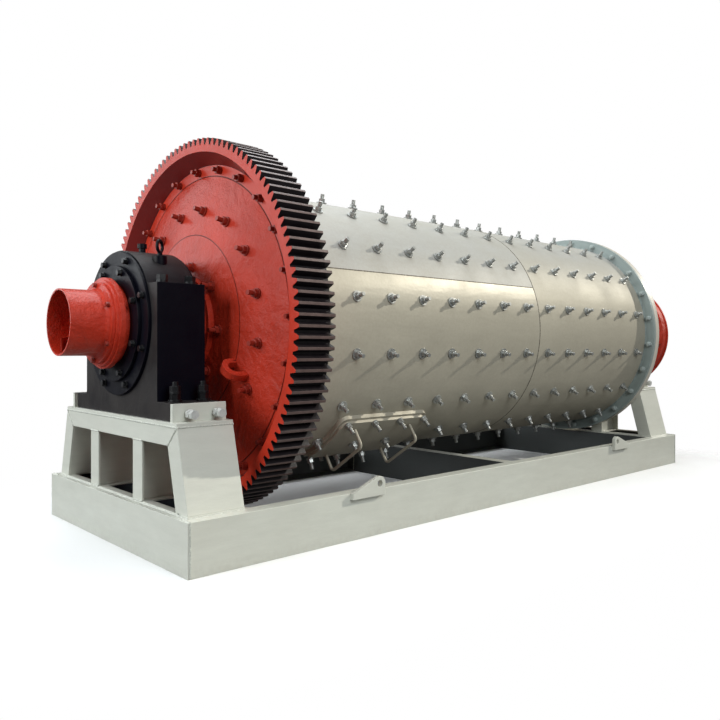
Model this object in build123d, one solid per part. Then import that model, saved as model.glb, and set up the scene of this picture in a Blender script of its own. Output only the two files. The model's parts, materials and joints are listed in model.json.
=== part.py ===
"""Ball mill on a welded skid: a bolted drum with a ring gear, turning in two pedestal bearings.

Lengths are millimetres. While it is built, x runs from the feed end of the skid towards the
discharge end, y runs across the mill and z is the height above the floor. The finished parts
move along x so that the origin lies below the middle of the whole mill.
"""
from build123d import *
import math
import os

# Skid
skid_length = 4610
skid_width = 1620
skid_height = 240
skid_plate = 12
rail_width = 80
rail_web = 10
rail_toe = 9
rail_root = 17
end_beam_width = 340

# Lifting lugs on the outer faces of the rails: a round nose with a tail towards the skid's end
lug_feed_x = 1093
lug_discharge_set_back = 1035
lug_plate = 25
lug_tail = 185
lug_tail_height = 30
lug_drop = 30
lug_nose_radius = 38
lug_hole_radius = 18
lug_hole_height = 32

# Bearing pedestals
pedestal_margin = 34
pedestal_depth = 286
pedestal_half_top = 650
pedestal_lean = 100
pedestal_leg = 85
pedestal_table = 87
pedestal_sole = 8
pedestal_sole_edge = 46
sole_ledge = 6
pedestal_cap = 18
pedestal_plate = 12
post_spacing = 516
post_flange = 100
post_plate = 10

# Stop plates that hold the bearing housings sideways
stop_plate = 20
stop_height = 82
stop_length = 275
stop_middle_x = 182
stop_clearance = 20

# Bearing housings
housing_middle_x = 180
housing_depth = 250
housing_axis_rise = 458
housing_half_width = 420
housing_shoulder = 185
housing_arch_radius = 370
foot_half_width = 550
foot_height = 83
cover_radius = 362
cover_plate = 16
inner_cover_radius = 292
inner_cover_plate = 18
ring_radius = 300
ring_recess = 45
oil_cap_radius = 24
oil_cap_neck_radius = 17
oil_cap_height = 46
eye_boss_radius = 36
eye_boss_height = 21
eye_boss_lean = 58
eye_shank_radius = 12
eye_shank_height = 20
eye_ring_radius = 29
eye_bar_radius = 8
eye_turn = 38

# Trunnions and the feed pipe
journal_radius = 200
running_clearance = 0.05
cover_clearance = 6
collar_radius = 228
collar_width = 26
collar_back_x = -8
step_radius = 216
step_width = 15
feed_flange_radius = 202
feed_flange_plate = 18
feed_flare = 14
feed_pipe_radius = 162.5
feed_pipe_wall = 8
feed_mouth_x = -247
trunnion_bore_radius = 155
hub_radius = 265
hub_plate = 30
hub_neck_radius = 225

# Feed spiral
spiral_clearance = 0.3
spiral_width = 78
spiral_plate = 8
spiral_pitch = 560
spiral_set_back = 8
spiral_start = 175
spiral_turn = 250
spiral_steps = 20

# Drum
shell_radius = 766
shell_over_skid = 94
shell_wall = 16
flange_plate = 32
feed_flange_reach = 119
feed_head_back_x = 580
head_flange_plate = 26
head_spigot_reach = 49
head_cone_rise = 68
head_hub_rise = 14
head_crease_radius = 490
head_wall = 46
course_seam_x = 2655
discharge_flange_set_back = 450
discharge_flange_plate = 28
discharge_flange_reach = 75
discharge_head_plate = 56
discharge_rim_width = 106
discharge_dish_depth = 20
seat_clearance = 0.3

# Ring gear
gear_module = 16
gear_reach = 218
gear_pressure_angle = 20
gear_width = 212
gear_rim = 36
gear_rim_taper = 55
gear_recess = 88
gear_web_plate = 26

# Discharge bell
bell_radius = 480
bell_wall = 10
bell_lip = 90
bell_overhang = 575
bell_rim = 9
bell_rim_width = 14

# Manhole in the feed course
manhole_x = 1380
manhole_below_horizontal = 56.6
manhole_length = 700
manhole_height = 440
manhole_corner = 60
manhole_pad = 22
manhole_cover_plate = 16
manhole_cover_margin = 14
manhole_edge = 85
handle_spacing = 436
handle_span = 300
handle_reach = 92
handle_bar_radius = 9
handle_bend = 24
handle_foot_lift = 2.2

# Loop bent from flat bar on the feed head
head_lug_radius = 530
head_lug_below_horizontal = 26
head_lug_skew = 13
head_lug_bar = 30
head_lug_width = 38
head_lug_bow = 65
head_lug_stand = 35
head_lug_root = 25

# Worked out from the driving dimensions
rail_inner_y = skid_width / 2 - rail_width
rail_web_y = skid_width / 2 - rail_web
axis_height = skid_height + shell_over_skid + shell_radius
pedestal_top = axis_height - housing_axis_rise
table_top = pedestal_top - pedestal_cap
pedestal_height = table_top - skid_height
pedestal_half_foot = pedestal_half_top + pedestal_lean
housing_front_x = housing_middle_x - housing_depth / 2
housing_back_x = housing_front_x + housing_depth
cover_bore_radius = journal_radius + cover_clearance
feed_flange_ring_radius = shell_radius + feed_flange_reach
head_spigot_radius = shell_radius + head_spigot_reach
head_front_x = feed_head_back_x - head_flange_plate - gear_web_plate
head_crease_x = head_front_x - head_cone_rise
head_hub_x = head_crease_x - head_hub_rise
discharge_flange_x = skid_length - discharge_flange_set_back
discharge_flange_radius = shell_radius + discharge_flange_reach
discharge_dish_radius = discharge_flange_radius - discharge_rim_width
gear_teeth = round(2 * (shell_radius + gear_reach) / gear_module)
gear_pitch_radius = gear_module * gear_teeth / 2
gear_tip_radius = gear_pitch_radius + gear_module
gear_root_radius = gear_pitch_radius - 1.25 * gear_module
gear_rim_radius = gear_root_radius - gear_rim
gear_front_x = head_front_x - gear_recess
feed_shell_x = feed_head_back_x
discharge_shell_x = discharge_flange_x + discharge_flange_plate
discharge_head_back_x = discharge_shell_x + discharge_head_plate
shell_bore_radius = shell_radius - shell_wall
bell_mouth_x = skid_length + bell_overhang
origin_x = (feed_mouth_x + bell_mouth_x) / 2


def turned(points):
    """A ring round the mill axis from a closed outline of (x, radius) points."""
    outline = Polyline(*[(x, 0, radius) for x, radius in points], close=True)
    return Pos(0, 0, axis_height) * revolve(make_face(outline), Axis.X)


def washer(front_x, back_x, outer_radius, inner_radius):
    """A flat ring round the mill axis."""
    inside = [(front_x, inner_radius), (back_x, inner_radius)]
    outside = [(back_x, outer_radius), (front_x, outer_radius)]
    return turned(inside + outside)


def plate_between(points, front_x, back_x):
    """A plate from a closed outline of (y, z) points, between two stations along the mill."""
    outline = Polyline(*[(front_x, y, z) for y, z in points], close=True)
    return extrude(make_face(outline), back_x - front_x, dir=(1, 0, 0))


def block(x_range, y_range, z_range):
    """A plain block between two corners."""
    size = [high - low for low, high in (x_range, y_range, z_range)]
    middle = [(high + low) / 2 for low, high in (x_range, y_range, z_range)]
    return Pos(*middle) * Box(*size)


def to_discharge_end(shape):
    """The same piece at the other end of the skid."""
    return mirror(shape, about=Plane.YZ.offset(skid_length / 2))


def to_far_side(shape):
    """The same piece on the other side of the mill."""
    return mirror(shape, about=Plane.XZ)


def channel():
    """The (across, height) points of the rails' channel: its web's back at 0, its flanges' toes inward."""
    return [
        (0, 0),
        (rail_width, 0),
        (rail_width, rail_toe),
        (rail_web, rail_root),
        (rail_web, skid_height - rail_root),
        (rail_width, skid_height - rail_toe),
        (rail_width, skid_height),
        (0, skid_height),
    ]


def skid_rail():
    """The near rail: a channel with its flat back outside, between the end plates."""
    outline = [(across - skid_width / 2, height) for across, height in channel()]
    return plate_between(outline, skid_plate, skid_length - skid_plate)


def coped(x_range):
    """The space of a beam between the rails, its ends cut to reach the rails' webs between the flanges."""
    body = block(x_range, (-rail_inner_y, rail_inner_y), (0, skid_height))
    return body + block(x_range, (-rail_web_y, rail_web_y), (rail_root, skid_height - rail_root))


def end_beam():
    """The two channels below the feed pedestal, their flanges towards each other."""
    back = skid_plate + end_beam_width
    across = (-rail_web_y, rail_web_y)
    hollow_x = (2 * skid_plate, back - skid_plate)
    hollow = block(hollow_x, across, (skid_plate, skid_height - skid_plate))
    gap = block((rail_width, back - rail_width), across, (0, skid_height))
    return coped((skid_plate, back)) - hollow - gap


def cross_beam():
    """The channel across the middle of the skid, its flat back towards the feed end."""
    front = skid_length / 2
    outline = Polyline(*[(front + across, -rail_web_y, height) for across, height in channel()], close=True)
    beam = extrude(make_face(outline), 2 * rail_web_y, dir=(0, 1, 0))
    return beam & coped((front, front + rail_width))


def end_plate():
    """The flat plate that closes the feed end of the skid."""
    return block((0, skid_plate), (-skid_width / 2, skid_width / 2), (0, skid_height))


def lifting_lug(hole_x, side):
    """A plate lug on the near rail, its tail towards the feed end (side -1) or the discharge end (1)."""
    outer_y = -skid_width / 2
    hole_z = skid_height + lug_hole_height
    base_z = skid_height - lug_drop
    tail_z = base_z + lug_tail_height
    to_tail = math.atan2(tail_z - hole_z, lug_tail)
    slope = to_tail + math.acos(lug_nose_radius / math.hypot(lug_tail, tail_z - hole_z))
    tangent_x = lug_nose_radius * math.cos(slope)
    tangent_z = lug_nose_radius * math.sin(slope)
    outline = Polyline(
        (hole_x + side * lug_tail, outer_y, base_z),
        (hole_x + side * lug_tail, outer_y, tail_z),
        (hole_x + side * tangent_x, outer_y, hole_z + tangent_z),
        (hole_x, outer_y, hole_z),
        (hole_x - side * lug_nose_radius, outer_y, hole_z),
        (hole_x - side * lug_nose_radius, outer_y, base_z),
        close=True,
    )
    body = extrude(make_face(outline), lug_plate, dir=(0, -1, 0))
    along_y = Rot(90, 0, 0)
    nose_middle = Pos(hole_x, outer_y - lug_plate / 2, hole_z)
    body += nose_middle * along_y * Cylinder(lug_nose_radius, lug_plate)
    return body - nose_middle * along_y * Cylinder(lug_hole_radius, lug_plate)


def pedestal_mitre(height):
    """Half width of the mitre between leg and table at a height above the skid."""
    share = (pedestal_height - height) / pedestal_table
    return pedestal_half_top - pedestal_leg * share


def pedestal_slope(height):
    """Half width of the pedestal's outline at a height above the skid."""
    return pedestal_half_foot + (pedestal_half_top - pedestal_half_foot) * height / pedestal_height


def pedestal_leg_near():
    """The leaning box leg of the feed pedestal on the near side, mitred under the table."""
    inner_top = pedestal_height - pedestal_table
    low = pedestal_sole
    lean = pedestal_slope(low) - pedestal_slope(inner_top)
    inner_foot = pedestal_mitre(inner_top) + lean
    outside = [
        (-pedestal_slope(low), skid_height + low),
        (-pedestal_half_top, table_top),
        (-pedestal_mitre(inner_top), skid_height + inner_top),
        (-inner_foot, skid_height + low),
    ]
    high_cavity = pedestal_height - pedestal_plate
    low_cavity = inner_top + pedestal_plate
    inside = [
        (-pedestal_slope(low) + pedestal_plate, skid_height + low),
        (-pedestal_mitre(high_cavity), skid_height + high_cavity),
        (-pedestal_mitre(low_cavity), skid_height + low_cavity),
        (-inner_foot - pedestal_plate, skid_height + low),
    ]
    front = pedestal_margin
    back = pedestal_margin + pedestal_depth
    leg = plate_between(outside, front, back)
    return leg - plate_between(inside, front + pedestal_plate, back - pedestal_plate)


def pedestal_table_box():
    """The hollow box table of the feed pedestal, mitred to the legs, with its cap plate."""
    inner_top = pedestal_height - pedestal_table
    high_cavity = pedestal_height - pedestal_plate
    low_cavity = inner_top + pedestal_plate
    outside = [
        (-pedestal_half_top, table_top),
        (pedestal_half_top, table_top),
        (pedestal_mitre(inner_top), skid_height + inner_top),
        (-pedestal_mitre(inner_top), skid_height + inner_top),
    ]
    inside = [
        (-pedestal_mitre(high_cavity), skid_height + high_cavity),
        (pedestal_mitre(high_cavity), skid_height + high_cavity),
        (pedestal_mitre(low_cavity), skid_height + low_cavity),
        (-pedestal_mitre(low_cavity), skid_height + low_cavity),
    ]
    front = pedestal_margin
    back = pedestal_margin + pedestal_depth
    table = plate_between(outside, front, back)
    table -= plate_between(inside, front + pedestal_plate, back - pedestal_plate)
    sides = (-pedestal_half_top, pedestal_half_top)
    return table + block((front, back), sides, (table_top, pedestal_top))


def pedestal_sole_plate():
    """The plate that the feed pedestal stands on, open between the legs and the posts."""
    front = pedestal_margin
    back = pedestal_margin + pedestal_depth
    heights = (skid_height, skid_height + pedestal_sole)
    plate = block((front, back), (-pedestal_half_foot, pedestal_half_foot), heights)
    post_inner = (post_spacing - post_flange) / 2
    post_outer = (post_spacing + post_flange) / 2
    leg_inner = pedestal_half_foot - pedestal_leg - sole_ledge
    depth = (front + pedestal_sole_edge, back - pedestal_sole_edge)
    plate -= block(depth, (sole_ledge - post_inner, post_inner - sole_ledge), heights)
    side = block(depth, (-leg_inner, -post_outer - sole_ledge), heights)
    return plate - side - to_far_side(side)


def pedestal_post(middle_y):
    """One post with two flanges and a deep web, between sole and table."""
    heights = (skid_height + pedestal_sole, table_top - pedestal_table)
    front = pedestal_margin
    back = pedestal_margin + pedestal_depth
    across = (middle_y - post_flange / 2, middle_y + post_flange / 2)
    post = block((front, front + post_plate), across, heights)
    post += block((back - post_plate, back), across, heights)
    web = (middle_y - post_plate / 2, middle_y + post_plate / 2)
    return post + block((front + post_plate, back - post_plate), web, heights)


def pedestal_posts():
    """The two posts of the feed pedestal."""
    return [pedestal_post(-post_spacing / 2), pedestal_post(post_spacing / 2)]


def stop_plates():
    """The two plates beside the foot of the feed housing."""
    inner = foot_half_width + stop_clearance
    near = block(
        (stop_middle_x - stop_length / 2, stop_middle_x + stop_length / 2),
        (-inner - stop_plate, -inner),
        (pedestal_top, pedestal_top + stop_height),
    )
    return [near, to_far_side(near)]


def bearing_base():
    """Lower half of the feed housing: foot, side blocks and half of the bearing seat."""
    foot_top = pedestal_top + foot_height
    outline = [
        (-foot_half_width, pedestal_top),
        (foot_half_width, pedestal_top),
        (foot_half_width, foot_top),
        (housing_half_width, foot_top),
        (housing_half_width, axis_height),
        (-housing_half_width, axis_height),
        (-housing_half_width, foot_top),
        (-foot_half_width, foot_top),
    ]
    base = plate_between(outline, housing_front_x, housing_back_x)
    return base - bearing_seat()


def bearing_cap():
    """Upper half of the feed housing: side blocks and the round cap."""
    shoulder_z = axis_height + housing_shoulder
    sides = (-housing_half_width, housing_half_width)
    depth = (housing_front_x, housing_back_x)
    cap = block(depth, sides, (axis_height, shoulder_z))
    arch = washer(housing_front_x, housing_back_x, housing_arch_radius, 0)
    cap += arch & block(depth, sides, (axis_height, axis_height + housing_arch_radius))
    return cap - bearing_seat()


def bearing_seat():
    """The space for the bearing ring and the journal in the feed housing."""
    bore = washer(housing_front_x, housing_back_x, cover_bore_radius, 0)
    seat_front = housing_front_x + ring_recess
    seat_back = housing_back_x - ring_recess
    return bore + washer(seat_front, seat_back, ring_radius + seat_clearance, 0)


def bearing_ring():
    """The bearing in the feed housing, as one ring round the journal."""
    inner = journal_radius + running_clearance
    return washer(housing_front_x + ring_recess, housing_back_x - ring_recess, ring_radius, inner)


def bearing_covers(front_x):
    """Two stepped cover rings on the outer face of the feed housing."""
    middle_x = front_x - cover_plate
    outer = washer(middle_x, front_x, cover_radius, cover_bore_radius)
    inner = washer(middle_x - inner_cover_plate, middle_x, inner_cover_radius, cover_bore_radius)
    return outer, inner


def drum_side_cover():
    """The stepped cover ring on the drum side of the feed housing."""
    step_x = housing_back_x + cover_plate
    end_x = step_x + inner_cover_plate
    outline = [
        (housing_back_x, cover_bore_radius),
        (end_x, cover_bore_radius),
        (end_x, inner_cover_radius),
        (step_x, inner_cover_radius),
        (step_x, cover_radius),
        (housing_back_x, cover_radius),
    ]
    return turned(outline)


def upright(radius, middle_y, low_z, high_z):
    """An upright cylinder over the middle of the feed housing."""
    return Pos(housing_middle_x, middle_y, (low_z + high_z) / 2) * Cylinder(radius, high_z - low_z)


def oil_cap():
    """The round filler cap on top of the feed housing."""
    top = axis_height + housing_arch_radius
    neck_top = top + oil_cap_height / 2
    neck = upright(oil_cap_neck_radius, 0, axis_height, neck_top)
    neck -= washer(housing_front_x, housing_back_x, housing_arch_radius, 0)
    return neck + upright(oil_cap_radius, 0, neck_top, top + oil_cap_height)


def eye_bolt():
    """The lifting eye on a round boss on the near shoulder of the feed cap."""
    lean = math.radians(eye_boss_lean)
    foot_y = -housing_arch_radius * math.cos(lean)
    foot_z = axis_height + housing_arch_radius * math.sin(lean)
    boss_top = foot_z + eye_boss_height
    shank_top = boss_top + eye_shank_height
    boss = upright(eye_boss_radius, foot_y, axis_height, boss_top)
    boss -= washer(housing_front_x, housing_back_x, housing_arch_radius, 0)
    boss += upright(eye_shank_radius, foot_y, boss_top, shank_top)
    ring_place = Pos(housing_middle_x, foot_y, shank_top + eye_ring_radius)
    return boss + ring_place * Rot(0, 0, eye_turn) * Rot(90, 0, 0) * Torus(eye_ring_radius, eye_bar_radius)


def feed_pipe():
    """The feed pipe with its flared root flange, bolted to the trunnion's face."""
    back = collar_back_x - collar_width - step_width
    front = back - feed_flange_plate
    bore = feed_pipe_radius - feed_pipe_wall
    outline = [
        (feed_mouth_x, bore),
        (back, bore),
        (back, feed_flange_radius),
        (front, feed_flange_radius),
        (front, feed_pipe_radius + feed_flare),
        (front - feed_flare, feed_pipe_radius),
        (feed_mouth_x, feed_pipe_radius),
    ]
    return turned(outline)


def feed_trunnion():
    """The hollow journal at the feed end, with stepped collars and a flange on the head."""
    step_front = collar_back_x - collar_width - step_width
    collar_front = collar_back_x - collar_width
    hub_front = head_hub_x - hub_plate
    neck_x = housing_back_x + cover_plate + inner_cover_plate + cover_clearance
    outline = [
        (step_front, trunnion_bore_radius),
        (head_hub_x, trunnion_bore_radius),
        (head_hub_x, hub_radius),
        (hub_front, hub_radius),
        (hub_front, hub_neck_radius + hub_plate / 2),
        (hub_front - hub_plate / 2, hub_neck_radius),
        (neck_x, journal_radius),
        (collar_back_x, journal_radius),
        (collar_back_x, collar_radius),
        (collar_front, collar_radius),
        (collar_front, step_radius),
        (step_front, step_radius),
    ]
    return turned(outline)


def feed_spiral():
    """The helical blade that carries the feed through the pipe."""
    outer = feed_pipe_radius - feed_pipe_wall - spiral_clearance
    inner = outer - spiral_width
    start = feed_mouth_x + spiral_set_back
    return spiral_blade(start, inner, outer)


def spiral_blade(start, inner, outer):
    """A ruled helical blade, as short wedges joined into one solid."""
    turn = spiral_turn / spiral_steps
    rise = spiral_pitch * turn / 360
    sections = []
    for step in range(spiral_steps + 1):
        x = start + step * rise
        back = x + spiral_plate
        section = Polyline((x, 0, inner), (back, 0, inner), (back, 0, outer), (x, 0, outer), close=True)
        sections.append(Rot(spiral_start + step * turn, 0, 0) * make_face(section))
    blade = loft(sections, ruled=True)
    return Pos(0, 0, axis_height) * blade


def feed_head():
    """The cast feed head: hub zone, crease, cone, spigot for the gear and flange for the shell."""
    outline = [
        (head_hub_x, trunnion_bore_radius),
        (head_hub_x, hub_radius),
        (head_crease_x, head_crease_radius),
        (head_front_x, head_spigot_radius),
        (feed_head_back_x - head_flange_plate, head_spigot_radius),
        (feed_head_back_x - head_flange_plate, feed_flange_ring_radius),
        (feed_head_back_x, feed_flange_ring_radius),
        (feed_head_back_x, shell_bore_radius),
        (head_crease_x + head_wall, head_crease_radius),
        (head_hub_x + head_wall, hub_radius),
        (head_hub_x + head_wall, trunnion_bore_radius),
    ]
    return turned(outline)


def head_lug():
    """The loop of flat bar that stands on the cone of the feed head, in a plane through the mill axis."""
    inner = head_lug_bow - head_lug_bar
    ring = Cylinder(head_lug_bow, head_lug_width) - Cylinder(inner, head_lug_width)
    loop = ring & Pos(-head_lug_bow, 0, 0) * Box(head_lug_bow * 2, head_lug_bow * 2, head_lug_width)
    leg_length = head_lug_stand + head_lug_root
    for side in (-1, 1):
        leg_y = side * (head_lug_bow - head_lug_bar / 2)
        loop += Pos(leg_length / 2, leg_y, 0) * Box(leg_length, head_lug_bar, head_lug_width)
    share = (head_lug_radius - head_crease_radius) / (head_spigot_radius - head_crease_radius)
    seat_x = head_crease_x + head_cone_rise * share
    place = Rot(head_lug_below_horizontal, 0, 0) * Pos(seat_x - head_lug_stand, -head_lug_radius, 0)
    placed = place * Rot(head_lug_skew, 0, 0) * loop
    return (Pos(0, 0, axis_height) * placed) - feed_head()


def tooth_half_angle(radius):
    """Half the angle that a gear tooth fills at a radius, for an involute flank, in radians."""
    pressure = math.radians(gear_pressure_angle)
    base_radius = gear_pitch_radius * math.cos(pressure)
    at_radius = math.acos(base_radius / radius)
    swept = math.tan(pressure) - pressure - (math.tan(at_radius) - at_radius)
    return math.pi / (2 * gear_teeth) + swept


def gear_outline():
    """The points of the toothed outline, one involute tooth after another."""
    radii = [gear_root_radius, gear_pitch_radius, gear_tip_radius]
    points = []
    for tooth in range(gear_teeth):
        middle = 2 * math.pi * tooth / gear_teeth
        flanks = [(radius, middle - tooth_half_angle(radius)) for radius in radii]
        flanks += [(radius, middle + tooth_half_angle(radius)) for radius in reversed(radii)]
        points += [(radius * math.cos(angle), radius * math.sin(angle)) for radius, angle in flanks]
    return points


def ring_gear():
    """The ring gear: toothed rim, recessed web and the bore that sits on the head's spigot."""
    flat = [(y, axis_height + z) for y, z in gear_outline()]
    gear = plate_between(flat, gear_front_x, gear_front_x + gear_width)
    web_back = feed_head_back_x - head_flange_plate
    web_front = web_back - gear_web_plate
    gear -= turned([
        (gear_front_x, 0),
        (gear_front_x, gear_rim_radius),
        (web_front, gear_rim_radius - gear_rim_taper),
        (web_front, 0),
    ])
    gear -= washer(web_back, gear_front_x + gear_width, gear_rim_radius, 0)
    return gear - washer(web_front, web_back, head_spigot_radius + seat_clearance, 0)


def shell_flange(front_x, plate, radius):
    """A flange ring welded round the end of the shell."""
    return washer(front_x, front_x + plate, radius, shell_radius + seat_clearance)


def on_manhole(shape):
    """Turn a piece from the near horizontal line down to the manhole's place."""
    return Pos(0, 0, axis_height) * Rot(manhole_below_horizontal, 0, 0) * shape


def manhole_block(length, height, corner):
    """A block with round corners that stands out of the near side of the shell."""
    upright_plane = Plane((manhole_x, 0, 0), x_dir=(1, 0, 0), z_dir=(0, -1, 0))
    return extrude(upright_plane * RectangleRounded(length, height, corner), shell_radius + handle_reach)


def manhole_ring(inner_radius, outer_radius):
    """A stretch of ring, centred on the mill axis, that the manhole's plates are cut from."""
    corners = [
        (manhole_x - manhole_length, inner_radius),
        (manhole_x + manhole_length, inner_radius),
        (manhole_x + manhole_length, outer_radius),
        (manhole_x - manhole_length, outer_radius),
    ]
    outline = Polyline(*[(x, 0, radius) for x, radius in corners], close=True)
    return revolve(make_face(outline), Axis.X)


def manhole_frame():
    """The pad welded round the manhole."""
    ring = manhole_ring(shell_radius + seat_clearance, shell_radius + manhole_pad)
    pad = ring & manhole_block(manhole_length, manhole_height, manhole_corner)
    inner_length = manhole_length - 2 * manhole_edge
    inner_height = manhole_height - 2 * manhole_edge
    return on_manhole(pad - manhole_block(inner_length, inner_height, manhole_corner / 2))


def manhole_cover():
    """The curved cover bolted on the manhole's pad."""
    inner = shell_radius + manhole_pad + seat_clearance
    ring = manhole_ring(inner, inner + manhole_cover_plate)
    margin = 2 * manhole_cover_margin
    sheet = ring & manhole_block(manhole_length - margin, manhole_height - margin, manhole_corner)
    return on_manhole(sheet)


def manhole_handles():
    """The two round-bar handles on the manhole cover."""
    surface = shell_radius + manhole_pad + seat_clearance + manhole_cover_plate
    half = handle_span / 2
    foot = math.sqrt(surface**2 - half**2) + handle_foot_lift
    top = surface + handle_reach
    handles = []
    for side in (-1, 1):
        x = manhole_x + side * handle_spacing / 2
        corners = [(x, -foot, -half), (x, -top, -half), (x, -top, half), (x, -foot, half)]
        route = FilletPolyline(*corners, radius=handle_bend)
        section = Plane(origin=(x, -foot, -half), z_dir=(0, -1, 0)) * Circle(handle_bar_radius)
        handles.append(on_manhole(sweep(section, path=route)))
    return handles


def shell_course_feed():
    """The rolled course at the feed end, with the manhole cut through it."""
    course = washer(feed_shell_x, course_seam_x, shell_radius, shell_bore_radius)
    inner_length = manhole_length - 2 * manhole_edge
    inner_height = manhole_height - 2 * manhole_edge
    return course - on_manhole(manhole_block(inner_length, inner_height, manhole_corner / 2))


def shell_course_discharge():
    """The rolled course at the discharge end."""
    return washer(course_seam_x, discharge_shell_x, shell_radius, shell_bore_radius)


def discharge_head():
    """The discharge head: a thick flanged disc with a shallow dish on its outer face."""
    dish_x = discharge_head_back_x - discharge_dish_depth
    outline = [
        (discharge_shell_x, trunnion_bore_radius),
        (discharge_shell_x, discharge_flange_radius),
        (discharge_head_back_x, discharge_flange_radius),
        (discharge_head_back_x, discharge_dish_radius),
        (dish_x, discharge_dish_radius - discharge_dish_depth),
        (dish_x, trunnion_bore_radius),
    ]
    return turned(outline)


def discharge_trunnion():
    """The hollow journal at the discharge end."""
    start = discharge_head_back_x - discharge_dish_depth
    collar_front = skid_length - collar_back_x
    collar_end = collar_front + collar_width
    step_end = collar_end + step_width
    outline = [
        (start, trunnion_bore_radius),
        (step_end, trunnion_bore_radius),
        (step_end, step_radius),
        (collar_end, step_radius),
        (collar_end, collar_radius),
        (collar_front, collar_radius),
        (collar_front, journal_radius),
        (start, journal_radius),
    ]
    return turned(outline)


def discharge_bell():
    """The flared bell on the discharge trunnion, with a straight lip and a rim."""
    root = skid_length - collar_back_x + collar_width + step_width
    lip_x = bell_mouth_x - bell_lip
    rim_x = bell_mouth_x - bell_rim_width
    flange_x = root + feed_flange_plate
    outline = [
        (root, trunnion_bore_radius),
        (flange_x, trunnion_bore_radius),
        (lip_x, bell_radius - bell_wall),
        (bell_mouth_x, bell_radius - bell_wall),
        (bell_mouth_x, bell_radius + bell_rim),
        (rim_x, bell_radius + bell_rim),
        (rim_x, bell_radius),
        (lip_x, bell_radius),
        (flange_x, trunnion_bore_radius + 2 * bell_wall),
        (flange_x, feed_flange_radius),
        (root, feed_flange_radius),
    ]
    return turned(outline)


def feed_end_pieces():
    """The pieces of the feed pedestal and its bearing, which repeat at the discharge end."""
    outer_cover, inner_cover = bearing_covers(housing_front_x)
    near_leg = pedestal_leg_near()
    return {
        "pedestal_sole": pedestal_sole_plate(),
        "pedestal_legs": [near_leg, to_far_side(near_leg)],
        "pedestal_posts": pedestal_posts(),
        "pedestal_table": pedestal_table_box(),
        "stop_plates": stop_plates(),
        "bearing_base": bearing_base(),
        "bearing_cap": bearing_cap(),
        "bearing_ring": bearing_ring(),
        "outer_cover": outer_cover,
        "inner_cover": inner_cover,
        "drum_side_cover": drum_side_cover(),
        "oil_cap": oil_cap(),
        "eye_bolt": eye_bolt(),
    }


def skid_pieces():
    """The rails, beams, end plates and lifting lugs of the skid."""
    near_rail = skid_rail()
    near_lugs = [lifting_lug(lug_feed_x, -1), lifting_lug(skid_length - lug_discharge_set_back, 1)]
    return {
        "skid_rail_near": near_rail,
        "skid_rail_far": to_far_side(near_rail),
        "skid_end_plates": [end_plate(), to_discharge_end(end_plate())],
        "skid_end_beams": [end_beam(), to_discharge_end(end_beam())],
        "skid_cross_beam": cross_beam(),
        "lifting_lugs": near_lugs + [to_far_side(lug) for lug in near_lugs],
    }


def drum_pieces():
    """Everything that turns."""
    discharge_ring = shell_flange(discharge_flange_x, discharge_flange_plate, discharge_flange_radius)
    return {
        "feed_pipe": feed_pipe(),
        "feed_spiral": feed_spiral(),
        "feed_trunnion": feed_trunnion(),
        "feed_head": feed_head(),
        "feed_head_lug": head_lug(),
        "ring_gear": ring_gear(),
        "shell_flange_feed": shell_flange(feed_shell_x, flange_plate, feed_flange_ring_radius),
        "shell_course_feed": shell_course_feed(),
        "shell_course_discharge": shell_course_discharge(),
        "shell_flange_discharge": discharge_ring,
        "manhole_frame": manhole_frame(),
        "manhole_cover": manhole_cover(),
        "manhole_handles": manhole_handles(),
        "discharge_head": discharge_head(),
        "discharge_trunnion": discharge_trunnion(),
        "discharge_bell": discharge_bell(),
    }


def all_parts():
    """Every named piece, as a list of solids."""
    parts = skid_pieces()
    for name, shape in feed_end_pieces().items():
        pieces = shape if isinstance(shape, list) else [shape]
        parts["feed_" + name] = pieces
        parts["discharge_" + name] = [to_discharge_end(piece) for piece in pieces]
    parts.update(drum_pieces())
    return {name: shape if isinstance(shape, list) else [shape] for name, shape in parts.items()}


os.makedirs("parts", exist_ok=True)
for part_name, part_pieces in all_parts().items():
    solids = [solid for piece in part_pieces for solid in (Pos(-origin_x, 0, 0) * piece).solids()]
    export_step(Compound(children=solids) if len(solids) > 1 else solids[0], f"parts/{part_name}.step")
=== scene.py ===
"""Ball mill: small fasteners, weld beads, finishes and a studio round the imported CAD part.

Lengths are metres in the CAD frame: +X along the mill axis towards the discharge end, +Z up,
and the near side of the mill faces -Y.
"""
import json
import math

import bmesh
import bpy
from bpy.props import FloatProperty, FloatVectorProperty, IntProperty, PointerProperty
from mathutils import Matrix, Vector


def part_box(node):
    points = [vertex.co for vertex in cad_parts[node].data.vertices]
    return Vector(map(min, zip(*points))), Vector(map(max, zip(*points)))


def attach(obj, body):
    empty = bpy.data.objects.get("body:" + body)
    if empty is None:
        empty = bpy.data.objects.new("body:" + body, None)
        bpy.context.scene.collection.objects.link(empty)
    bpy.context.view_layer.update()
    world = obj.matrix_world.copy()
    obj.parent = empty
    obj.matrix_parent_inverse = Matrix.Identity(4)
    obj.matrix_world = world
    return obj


bl_info = {
    "name": "Ball mill dressing",
    "version": (1, 0, 0),
    "blender": (4, 5, 0),
    "location": "3D View > Sidebar > Ball mill",
    "description": "Fasteners, weld beads, finishes and a studio for a ball mill",
    "category": "Object",
}

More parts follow.
